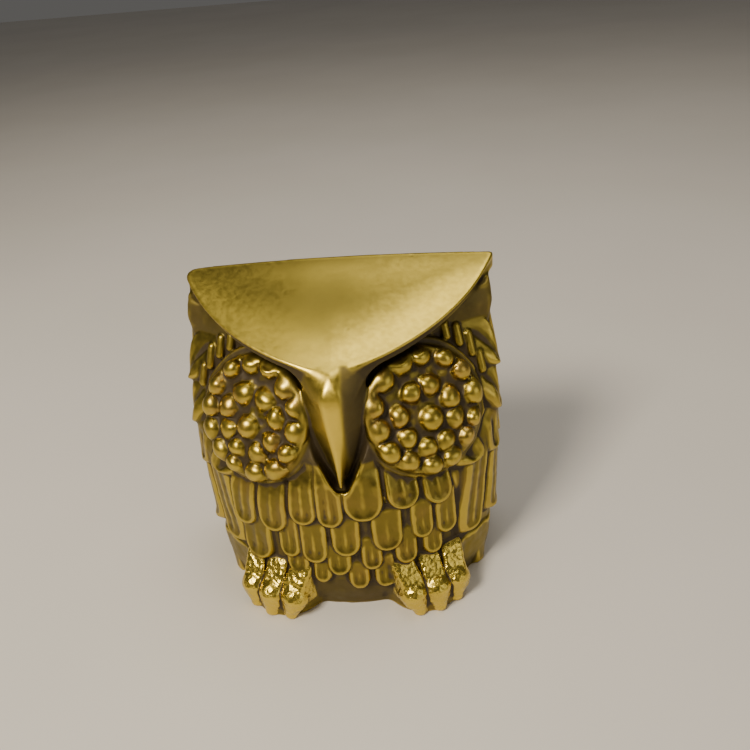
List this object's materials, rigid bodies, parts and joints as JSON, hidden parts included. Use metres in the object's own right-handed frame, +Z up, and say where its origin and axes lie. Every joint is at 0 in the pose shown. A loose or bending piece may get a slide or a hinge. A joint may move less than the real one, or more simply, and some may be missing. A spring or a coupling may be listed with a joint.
{
  "type": "owl figurine",
  "caption": "Small cast brass owl figurine with a flat V-shaped crown, beaded eyes, feathered breast and clawed feet, standing free on a flat base.",
  "frame": {"origin": "on the table, under the middle of the owl's box", "axes": "+Z up, the owl looks along -Y, +X is the owl's left side and the viewer's right"},
  "size_m": [0.0584, 0.0371, 0.0594],
  "materials": {
    "satin_brass": "brushed satin, bright at the brow edges",
    "aged_brass": "aged, dark in the grooves and rubbed on the high points",
    "bead_brass": "glossy rubbed beads over dark grooves",
    "hammered_brass": "bright and hammered"
  },
  "bodies": {
    "root": {"body_shell": "aged_brass", "crown_plate": "satin_brass", "beak": "satin_brass", "left_eye_disc": "aged_brass", "right_eye_disc": "aged_brass", "left_pupil": "bead_brass", "right_pupil": "bead_brass", "left_inner_beads": "bead_brass", "right_inner_beads": "bead_brass", "left_outer_beads": "bead_brass", "right_outer_beads": "bead_brass", "left_cheek_flutes": "aged_brass", "right_cheek_flutes": "aged_brass", "breast_row_1": "aged_brass", "breast_row_2": "aged_brass", "breast_row_3": "aged_brass", "belly_patch": "aged_brass", "left_wing_scales": "aged_brass", "right_wing_scales": "aged_brass", "left_wing_primaries": "aged_brass", "right_wing_primaries": "aged_brass", "left_base_band": "aged_brass", "right_base_band": "aged_brass", "left_foot": "aged_brass", "right_foot": "aged_brass", "left_toes": "hammered_brass", "right_toes": "hammered_brass", "left_claws": "hammered_brass", "right_claws": "hammered_brass", "back_row_1": "aged_brass", "back_row_2": "aged_brass", "back_row_3": "aged_brass", "tail": "aged_brass"}
  },
  "joints": []
}
